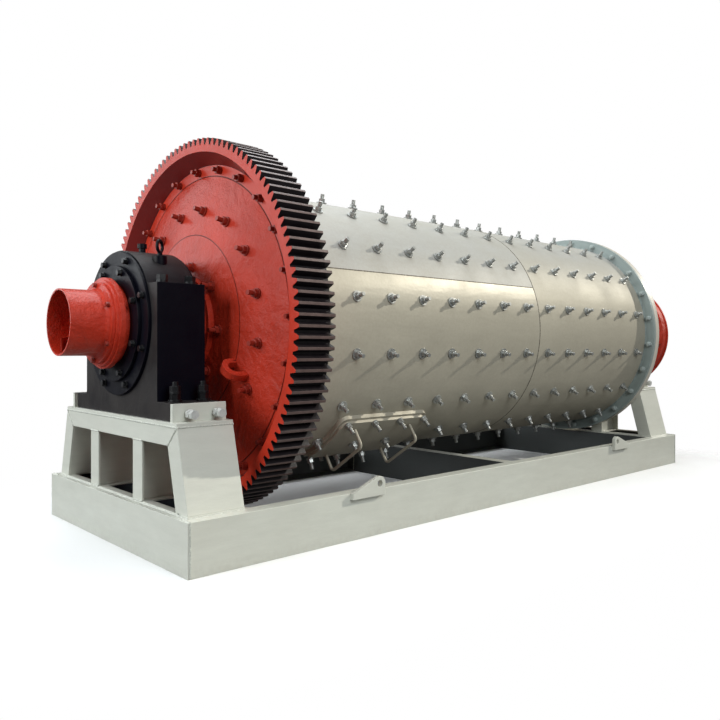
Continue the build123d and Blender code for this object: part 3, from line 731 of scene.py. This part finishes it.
def bead_tree():
    """An uneven round bead along each chain of edges."""
    tree = GeometryTree("Weld beads", ("Radius", "Ripple"))
    given = tree.given
    paths = tree.result("GeometryNodeMeshToCurve", {"Mesh": given["Geometry"]})
    steps = {"Curve": paths, "Length": given["Ripple"]}
    fine = tree.result("GeometryNodeResampleCurve", steps, mode="LENGTH")
    swell = {"Min": 0.75, "Max": 1.2, "Seed": given["Seed"]}
    uneven = tree.add("FunctionNodeRandomValue", swell, data_type="FLOAT").outputs[1]
    swelling = tree.result("GeometryNodeSetCurveRadius", {"Curve": fine, "Radius": uneven})
    profile = tree.result("GeometryNodeCurvePrimitiveCircle", {"Resolution": 6, "Radius": given["Radius"]})
    sweep = {"Curve": swelling, "Profile Curve": profile, "Scale": uneven, "Fill Caps": True}
    tree.give(tree.result("GeometryNodeCurveToMesh", sweep))


def baked(name, seed_mesh, tree_name, body, values):
    """Runs a Geometry Nodes tree on a mesh and leaves the plain result, riding on a body."""
    seed = bpy.data.objects.new(name + "_seed", seed_mesh)
    bpy.context.scene.collection.objects.link(seed)
    modifier = seed.modifiers.new("nodes", "NODES")
    modifier.node_group = bpy.data.node_groups[tree_name]
    for item in modifier.node_group.interface.items_tree:
        if item.in_out == "INPUT" and item.name in values:
            modifier[item.identifier] = values[item.name]
    depsgraph = bpy.context.evaluated_depsgraph_get()
    mesh = bpy.data.meshes.new_from_object(seed.evaluated_get(depsgraph), depsgraph=depsgraph)
    bpy.data.objects.remove(seed)
    mesh.name = name
    mesh.shade_smooth()
    mesh.set_sharp_from_angle(angle=math.radians(35))
    piece = bpy.data.objects.new(name, mesh)
    bpy.context.scene.collection.objects.link(piece)
    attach(piece, body)


def fasteners(name, places, kind, thread, proud, washer, seed):
    """Fasteners at a list of (place, facing) pairs. The washer's radius is given in thread diameters."""
    body, slot, material = BOLT_KINDS[kind]
    mesh = bpy.data.meshes.new(name + "_points")
    mesh.from_pydata([place for place, facing in places], [], [])
    attribute = mesh.attributes.new("facing", "FLOAT_VECTOR", "POINT")
    for point, (place, facing) in zip(attribute.data, places):
        point.vector = facing
    values = {
        "Thread": thread,
        "Proud": proud,
        "Washer Radius": thread * washer,
        "Washer Thickness": thread * 0.36,
        "Seed": seed,
        "Material": bpy.data.materials[material],
    }
    baked(name, mesh, "Fasteners", body, values)


def weld_beads(name, paths, body, radius, material, seed):
    """Weld beads along a list of paths, each a list of points."""
    points, edges = [], []
    for path in paths:
        start = len(points)
        points += path
        edges += [(start + step, start + step + 1) for step in range(len(path) - 1)]
    mesh = bpy.data.meshes.new(name + "_paths")
    mesh.from_pydata(points, edges, [])
    values = {
        "Radius": radius,
        "Ripple": radius * 1.6,
        "Seed": seed,
        "Material": bpy.data.materials[material],
    }
    baked(name, mesh, "Weld beads", body, values)


def round_axis(x, radius, turn):
    """A point at an angle above the near horizontal, at a radius about the mill axis."""
    return Vector((x, -radius * math.cos(turn), AXIS_HEIGHT + radius * math.sin(turn)))


def line(start, end):
    """A straight path between two points."""
    return [Vector(start), Vector(end)]


def rectangle(xs, ys, z):
    """A level rectangle, closed."""
    corners = [(xs[0], ys[0]), (xs[1], ys[0]), (xs[1], ys[1]), (xs[0], ys[1]), (xs[0], ys[0])]
    return [Vector((x, y, z)) for x, y in corners]


def hoop(x, radius):
    """A closed path round the mill axis."""
    steps = 180
    return [round_axis(x, radius, math.tau * step / steps) for step in range(steps + 1)]


def shell_seam(start, end, turn):
    """A path along the shell at one angle, just under its surface."""
    steps = 59
    return [round_axis(start + (end - start) * step / steps, SEAM_RADIUS, turn) for step in range(steps + 1)]


def seat(nodes, start, direction):
    """Where a line first meets one of the CAD nodes, and which way the surface faces there."""
    meetings = []
    for node in nodes:
        hit, place, facing = frame["nodes"][node].ray_cast(start, direction)[:3]
        if hit:
            meetings.append(((place - start).length, place.copy(), facing.copy()))
    if not meetings:
        raise RuntimeError(f"none of {nodes} lies in front of {tuple(start)}")
    return min(meetings, key=lambda meeting: meeting[0])[1:]


def bolt_circle(node, radius, count, turn_degrees, end, from_drum=False):
    """Seats on the faces of an end's piece that look outward, or towards the drum."""
    outward = OUTWARD[end] * (-1 if from_drum else 1)
    clear_of_mill = 2.0
    start_x = MIDDLE[end] + outward * clear_of_mill
    places = []
    for step in range(count):
        turn = math.radians(turn_degrees) + math.tau * step / count
        places.append(seat((node,), round_axis(start_x, radius, turn), Vector((-outward, 0, 0))))
    return places


def on_drum(x, turn):
    """The seat of a bolt on the shell or on the manhole's plates."""
    nodes = ("manhole_cover", "manhole_frame", "shell_course_feed", "shell_course_discharge")
    outward = round_axis(0, 1, turn) - round_axis(0, 0, turn)
    return seat(nodes, round_axis(x, 2 * SHELL_RADIUS, turn), -outward)[0], outward


def on_bell(turn):
    """The seat of a bolt on the flare of the discharge bell."""
    from_lip, clear_of_bell = 0.115, 1.0
    x = span("discharge_bell", X)[1] - from_lip
    outward = round_axis(0, 1, turn) - round_axis(0, 0, turn)
    return seat(("discharge_bell",), round_axis(x, clear_of_bell, turn), -outward)


def four_sides():
    """The four studs of a housing: which side of the mill, and before or behind the middle."""
    return [(side, step * BOLT_HALF_PITCH) for side in (-1, 1) for step in (-1, 1)]


def settings():
    """The sizes and colours that the user set."""
    return bpy.context.scene.mill


class MILL_OT_finishes(bpy.types.Operator):
    """Build the shared groups and materials, and give each CAD node its finish"""

    bl_idname = "mill.finishes"
    bl_label = "Finishes"

    def execute(self, context):
        groups = (mottle_group, cast_skin_group, groove_group, edge_group, polar_group)
        for build in (*groups, fastener_tree, bead_tree):
            build()
        paints = settings().paints
        by_slot = {
            "skid_paint": skid_paint(paints),
            "bearing_paint": bearing_paint(paints),
            "bearing_steel": bearing_steel(),
            "red_paint": red_paint(paints),
            "gear_steel": gear_steel(paints),
            "silver_paint": silver_paint(paints),
            "grey_green_paint": flange_paint("grey_green_paint", paints.grey_green),
            "cream_paint": flange_paint("cream_paint", paints.cream),
        }
        bolt_steel()
        painted_bolt("black_bolt", (0.004, 0.004, 0.005))
        painted_bolt("red_bolt", (0.29, 0.026, 0.014))
        painted_bolt("grey_bolt", (0.38, 0.43, 0.41))
        painted_bolt("white_bolt", (0.55, 0.56, 0.53))
        weld_metal("skid_weld", paints.skid)
        weld_metal("seam_weld", (0.17, 0.15, 0.115))
        weld_metal("flange_weld", paints.grey_green)
        for row in frame["record"]["subparts"]:
            for slot in frame["nodes"][row["node"]].material_slots:
                slot.material = by_slot[row["material_slot"]]
        return {"FINISHED"}


class MILL_OT_liner_bolts(bpy.types.Operator):
    """Bolt the liners to the shell"""

    bl_idname = "mill.liner_bolts"
    bl_label = "Liner bolts"

    def execute(self, context):
        sizes = settings().fasteners
        places = []
        for row in range(sizes.liner_rows):
            turn = sizes.liner_turn - math.tau * row / sizes.liner_rows
            for column in range(sizes.liner_columns):
                x = SHELL_START + sizes.liner_first + sizes.liner_pitch * column
                places.append(on_drum(x, turn))
        thread, proud = sizes.liner_thread, sizes.liner_proud
        fasteners("shell_liner_bolts", places, "shell", thread, proud, washer=1.32, seed=3)
        return {"FINISHED"}


class MILL_OT_head_bolts(bpy.types.Operator):
    """Bolt the liners to both heads of the drum"""

    bl_idname = "mill.head_bolts"
    bl_label = "Head bolts"

    def execute(self, context):
        sizes = settings().fasteners
        thread, proud = sizes.liner_thread * 1.08, sizes.liner_proud * 1.15
        for end, kind in (("feed", "red"), ("discharge", "discharge head")):
            head = end + "_head"
            places = bolt_circle(head, sizes.head_outer_radius, 16, 13.2, end)
            places += bolt_circle(head, sizes.head_inner_radius, 8, 39.0, end)
            fasteners(end + "_head_bolts", places, kind, thread, proud, washer=1.1, seed=11)
        return {"FINISHED"}


class MILL_OT_flange_bolts(bpy.types.Operator):
    """Bolt the ring gear and both heads to the shell's flanges"""

    bl_idname = "mill.flange_bolts"
    bl_label = "Flange bolts"

    def execute(self, context):
        sizes = settings().fasteners
        count, thread = sizes.flange_bolts, sizes.flange_thread
        front = bolt_circle("ring_gear", GEAR_BOLTS, count, 1.5, "feed")
        fasteners("gear_bolts", front, "red", thread, proud=0.052, washer=0.85, seed=21)
        back = bolt_circle("shell_flange_feed", GEAR_BOLTS, count, 1.5, "feed", from_drum=True)
        fasteners("gear_bolt_ends", back, "red", thread, proud=0.032, washer=0.85, seed=22)
        radius = (SHELL_RADIUS + outer_radius("discharge_head")) / 2
        smaller = thread * 0.9
        inside = bolt_circle("shell_flange_discharge", radius, count, 8.5, "discharge", from_drum=True)
        fasteners("discharge_flange_bolts", inside, "grey-green", smaller, proud=0.034, washer=0.95, seed=23)
        outside = bolt_circle("discharge_head", radius, count, 8.5, "discharge")
        fasteners("discharge_flange_nuts", outside, "cream", smaller, proud=0.030, washer=0.95, seed=24)
        return {"FINISHED"}


class MILL_OT_bearing_bolts(bpy.types.Operator):
    """Bolt the bearing covers, the feed pipe, the bell and the housing caps"""

    bl_idname = "mill.bearing_bolts"
    bl_label = "Bearing bolts"

    def execute(self, context):
        thread = settings().fasteners.cover_thread
        for end in ENDS:
            covers = bolt_circle(end + "_inner_cover", INNER_COVER_BOLTS, 8, 22.5, end)
            covers += bolt_circle(end + "_outer_cover", OUTER_COVER_BOLTS, 8, 22.5, end)
            fasteners(end + "_cover_bolts", covers, "bearing", thread, proud=thread, washer=1.0, seed=31)
            inside = bolt_circle(end + "_drum_side_cover", OUTER_COVER_BOLTS, 8, 22.5, end, from_drum=True)
            fasteners(end + "_drum_side_bolts", inside, "bearing", thread, proud=thread, washer=1.0, seed=32)
            caps = []
            for side, step in four_sides():
                start = Vector((MIDDLE[end] + OUTWARD[end] * CAP_SHIFT + step, side * CAP_SIDE, ABOVE_ALL))
                caps.append(seat((end + "_bearing_cap",), start, -UP))
            fasteners(end + "_cap_bolts", caps, "bearing", 0.030, proud=0.030, washer=0.9, seed=33)
        pipe = bolt_circle("feed_pipe", PIPE_BOLTS, 6, 27.0, "feed")
        fasteners("pipe_bolts", pipe, "red", 0.014, proud=0.013, washer=0.95, seed=34)
        bell = [on_bell(math.radians(19 + 30 * step)) for step in range(12)]
        fasteners("bell_bolts", bell, "red", 0.014, proud=0.014, washer=1.0, seed=35)
        return {"FINISHED"}


class MILL_OT_foundation_bolts(bpy.types.Operator):
    """Put the studs in the housings' feet and the jack screws in the stop plates"""

    bl_idname = "mill.foundation_bolts"
    bl_label = "Foundation bolts"

    def execute(self, context):
        thread, head_out = settings().fasteners.foundation_thread, 0.031
        for end in ENDS:
            studs, lock_nuts, jacks, jack_heads = [], [], [], []
            inward = -OUTWARD[end]
            stop_x = sum(span(end + "_stop_plates", X)) / 2 + inward * JACK_SHIFT
            stop_y = span(end + "_stop_plates", Y)[1]
            for side, step in four_sides():
                start = Vector((MIDDLE[end] + inward * FOOT_SHIFT + step, side * FOOT_SIDE, ABOVE_ALL))
                place = seat((end + "_bearing_base",), start, -UP)[0]
                studs.append((place, UP))
                lock_nuts.append((place + UP * thread * 1.25, UP))
                out = Vector((0, side, 0))
                jack_x = stop_x + math.copysign(JACK_HALF_PITCH, step)
                jack = Vector((jack_x, side * stop_y, AXIS_HEIGHT - JACK_DROP))
                jacks.append((jack, out))
                jack_heads.append((jack + out * head_out, out))
            fasteners(end + "_foundation_studs", studs, "bearing", thread, proud=0.094, washer=1.1, seed=41)
            fasteners(end + "_lock_nuts", lock_nuts, "bearing", thread, proud=thread, washer=0.9, seed=42)
            fasteners(end + "_jack_screws", jacks, "jack", 0.026, proud=0.058, washer=0.5, seed=43)
            fasteners(end + "_jack_heads", jack_heads, "jack", 0.026, proud=0.031, washer=0.45, seed=44)
        return {"FINISHED"}


class MILL_OT_manhole_studs(bpy.types.Operator):
    """Put the studs along the upper and lower edges of the manhole"""

    bl_idname = "mill.manhole_studs"
    bl_label = "Manhole studs"

    half_height: angle("Half height", "Angle from the middle of the manhole to its rows of studs", 14.2)

    def execute(self, context):
        sizes = settings().fasteners
        pitch = 0.2
        middle_x = sum(span("manhole_cover", X)) / 2
        middle_turn = sizes.liner_turn - 3 * math.tau / sizes.liner_rows
        places = []
        for side in (-1, 1):
            for step in (-1.5, -0.5, 0.5, 1.5):
                places.append(on_drum(middle_x + step * pitch, middle_turn + side * self.half_height))
        fasteners("manhole_studs", places, "shell", sizes.manhole_thread, proud=0.066, washer=1.0, seed=51)
        return {"FINISHED"}


class MILL_OT_weld_beads(bpy.types.Operator):
    """Lay the weld beads of skid, pedestals and drum"""

    bl_idname = "mill.weld_beads"
    bl_label = "Weld beads"

    def execute(self, context):
        self.weld_skid()
        self.weld_pedestals()
        self.weld_drum()
        return {"FINISHED"}

    def weld_skid(self):
        """Beads at the skid's corners and where the cross beam meets the rails."""
        paths = []
        low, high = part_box("skid_rail_near")
        for y in (low.y, -low.y):
            for x in (low.x, high.x):
                paths.append(line((x, y, 0.003), (x, y, SKID_TOP)))
                paths.append(line((x, y, SKID_TOP), (x, y - math.copysign(RAIL_FLANGE, y), SKID_TOP)))
        for x in span("skid_cross_beam", X):
            for y in (high.y, -high.y):
                paths.append(line((x, y, 0.01), (x, y, SKID_TOP)))
        weld_beads("skid_welds", paths, BASE, 0.004, "skid_weld", seed=61)

    def weld_pedestals(self):
        """Beads round the soles and caps, at the legs' feet and the posts, and up the mitres."""
        paths = []
        for end in ENDS:
            xs, ys = span(end + "_pedestal_sole", X), span(end + "_pedestal_sole", Y)
            low, high = span(end + "_pedestal_sole", Z)
            under, over = span(end + "_pedestal_table", Z)
            edge_y = span(end + "_pedestal_table", Y)[1]
            seam = over - CAP_PLATE
            paths.append(rectangle(xs, (-edge_y, edge_y), seam))
            for x in xs:
                for side in (-1, 1):
                    paths.append(line((x, side * edge_y, seam), (x, side * (edge_y - (seam - under)), under)))
            paths.append(rectangle(xs, ys, low))
            for y in ys:
                foot = y - math.copysign(SOLE_EDGE, y)
                paths.append(line((xs[0], foot, high), (xs[1], foot, high)))
            for y in span(end + "_pedestal_posts", Y):
                inner = y - math.copysign(POST_FLANGE, y)
                for x in xs:
                    for z in (high, under):
                        paths.append(line((x, y, z), (x, inner, z)))
                web = (y + inner) / 2 - math.copysign(POST_WALL / 2, y)
                for z in (high, under):
                    paths.append(line((xs[0] + POST_WALL, web, z), (xs[1] - POST_WALL, web, z)))
        weld_beads("pedestal_welds", paths, BASE, 0.005, "skid_weld", seed=62)

    def weld_drum(self):
        """The seams of the shell's courses and the beads at its flanges."""
        feed_flange = span("shell_flange_feed", X)[1]
        far_flange = span("shell_flange_discharge", X)[0]
        past_flange = 0.034
        seams = [
            shell_seam(SHELL_START + past_flange, COURSE_SEAM, LONG_SEAM),
            shell_seam(COURSE_SEAM, far_flange, LONG_SEAM + math.pi),
            hoop(COURSE_SEAM, SEAM_RADIUS),
        ]
        weld_beads("shell_seams", seams, DRUM, 0.0035, "seam_weld", seed=63)
        near = [hoop(feed_flange, SHELL_RADIUS + 0.001)]
        weld_beads("feed_flange_weld", near, DRUM, 0.006, "seam_weld", seed=64)
        far = [hoop(far_flange, SHELL_RADIUS + 0.001)]
        weld_beads("other_flange_weld", far, DRUM, 0.008, "flange_weld", seed=65)


class MILL_OT_stage(bpy.types.Operator):
    """Set up the floor, the lamps and the camera at the photograph's viewpoint"""

    bl_idname = "mill.stage"
    bl_label = "Studio"

    def execute(self, context):
        studio = settings().studio
        self.lay_floor(studio)
        self.hang_lamps(studio)
        self.light_world()
        data = bpy.data.cameras.new("camera")
        data.lens = studio.focal_length
        data.shift_y = studio.horizon_shift
        data.clip_end = 200
        camera = self.linked("camera", data, studio.camera_place)
        camera.rotation_euler = (math.radians(90), 0, -studio.camera_turn)
        scene = bpy.context.scene
        scene.camera = camera
        scene.view_settings.view_transform = "Standard"
        return {"FINISHED"}

    def linked(self, name, data, place=(0.0, 0.0, 0.0)):
        """A new object in the scene."""
        item = bpy.data.objects.new(name, data)
        item.location = place
        bpy.context.scene.collection.objects.link(item)
        return item

    def lay_floor(self, studio):
        """A pale floor that fades away a little way out from the skid, with a painted shadow under the end frames.
        """
        mesh = bpy.data.meshes.new("studio_floor")
        shape = bmesh.new()
        bmesh.ops.create_circle(shape, cap_ends=True, segments=96, radius=12)
        shape.to_mesh(mesh)
        shape.free()
        floor = self.linked("studio_floor", mesh)
        finish = Finish("studio_floor", roughness=0.7)
        mottle = finish.mottle(0.6, 0.6)
        pale = finish.blend(mottle, tint(studio.floor_colour, 0.97), tint(studio.floor_colour, 1.02))
        seen = finish.add("ShaderNodeLightPath").outputs["Is Camera Ray"]
        low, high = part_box("skid_end_plates")
        middle = ((low.x + high.x) / 2, 0.0, 0.0)
        half = ((high.x - low.x) / 2, high.y, 0.0)
        from_middle = finish.vector("SUBTRACT", finish.place(), middle).outputs[0]
        from_middle = finish.vector("ABSOLUTE", from_middle).outputs[0]
        parts = finish.parts(from_middle)
        frame_inside = half[X] - 0.33
        painted_shadow_under_ends = finish.times(
            finish.ramp(parts["X"], frame_inside - 0.04, frame_inside),
            finish.under(parts["X"], half[X]),
            finish.under(parts["Y"], half[Y]),
        )
        # Under the end frames the floor is painted dark as shadow; rays other than the camera's see the darker
        # colour everywhere.
        shaded = tint(studio.floor_colour, 0.26)
        finish.colour(finish.blend(finish.math("SUBTRACT", seen, painted_shadow_under_ends, clamp=True), shaded, pale))
        beyond = finish.vector("MAXIMUM", finish.vector("SUBTRACT", from_middle, half).outputs[0]).outputs[0]
        distance = finish.vector("LENGTH", beyond).outputs["Value"]
        fade = {"Value": distance, "From Min": 0.08, "From Max": 1.1}
        away = finish.add("ShaderNodeMapRange", fade, interpolation_type="SMOOTHSTEP").outputs[0]
        clear = finish.add("ShaderNodeBsdfTransparent").outputs[0]
        mix = finish.add("ShaderNodeMixShader", {0: away, 1: finish.shader.outputs[0], 2: clear}).outputs[0]
        finish.tree.links.new(mix, finish.tree.nodes["Material Output"].inputs["Surface"])
        mesh.materials.append(finish.material)

    def hang_lamps(self, studio):
        """A low sun beyond the discharge end, and broad soft lamps for the sky."""
        height, turn = studio.sun_height, studio.sun_turn
        level = math.cos(height)
        towards_sun = Vector((level * math.cos(turn), -level * math.sin(turn), math.sin(height)))
        data = bpy.data.lights.new("sun", "SUN")
        data.energy = 2.15
        data.angle = math.radians(1.2)
        data.color = (1.0, 0.955, 0.86)
        self.linked("sun", data).rotation_euler = towards_sun.to_track_quat("Z", "Y").to_euler()
        lamps = (
            ("overhead", (0.0, 1.0, 7.0), (0.0, 0.0, 1.0), 6.0, 520),
            ("feed_sky", (-8.5, 0.5, 3.2), (-2.0, 0.0, 1.0), 4.0, 400),
            ("far_sky", (-6.6, 7.6, 3.9), (-1.5, 0.0, 1.2), 5.0, 240),
            ("near_sky", (-2.5, -7.2, 4.8), (-1.0, 0.0, 0.8), 4.0, 340),
        )
        for name, place, target, size, power in lamps:
            data = bpy.data.lights.new(name, "AREA")
            data.size = size
            data.energy = power
            data.color = (0.92, 0.97, 1.0)
            aim = Vector(target) - Vector(place)
            self.linked(name, data, place).rotation_euler = aim.to_track_quat("-Z", "Y").to_euler()

    def light_world(self):
        """Plain light all round, and a white background for the camera."""
        world = bpy.data.worlds.new("studio")
        bpy.context.scene.world = world
        world.use_nodes = True
        tree = Tree(world.node_tree)
        rays = tree.add("ShaderNodeLightPath").outputs
        seen = tree.math("MAXIMUM", rays["Is Camera Ray"], rays["Is Transmission Ray"])
        background = world.node_tree.nodes["Background"]
        background.inputs["Color"].default_value = (1, 1, 1, 1)
        tree.feed(background, "Strength", tree.between(seen, 0.15, 1.0))


OPERATORS = (
    MILL_OT_finishes,
    MILL_OT_liner_bolts,
    MILL_OT_head_bolts,
    MILL_OT_flange_bolts,
    MILL_OT_bearing_bolts,
    MILL_OT_foundation_bolts,
    MILL_OT_manhole_studs,
    MILL_OT_weld_beads,
    MILL_OT_stage,
)


class MILL_PT_sidebar(bpy.types.Panel):
    """Lists the mill's operators in the 3D view's sidebar"""

    bl_label = "Ball mill"
    bl_idname = "MILL_PT_sidebar"
    bl_space_type = "VIEW_3D"
    bl_region_type = "UI"
    bl_category = "Ball mill"

    def draw(self, context):
        for operator in OPERATORS:
            self.layout.operator(operator.bl_idname)


CLASSES = (MillFasteners, MillPaints, MillStudio, MillSettings, *OPERATORS, MILL_PT_sidebar)


def register():
    for each in CLASSES:
        bpy.utils.register_class(each)
    bpy.types.Scene.mill = PointerProperty(type=MillSettings)


def unregister():
    del bpy.types.Scene.mill
    for each in reversed(CLASSES):
        bpy.utils.unregister_class(each)


def main():
    """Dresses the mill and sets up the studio."""
    register()
    for operator in OPERATORS:
        group, name = operator.bl_idname.split(".")
        getattr(getattr(bpy.ops, group), name)()


if __name__ == "__main__":
    main()
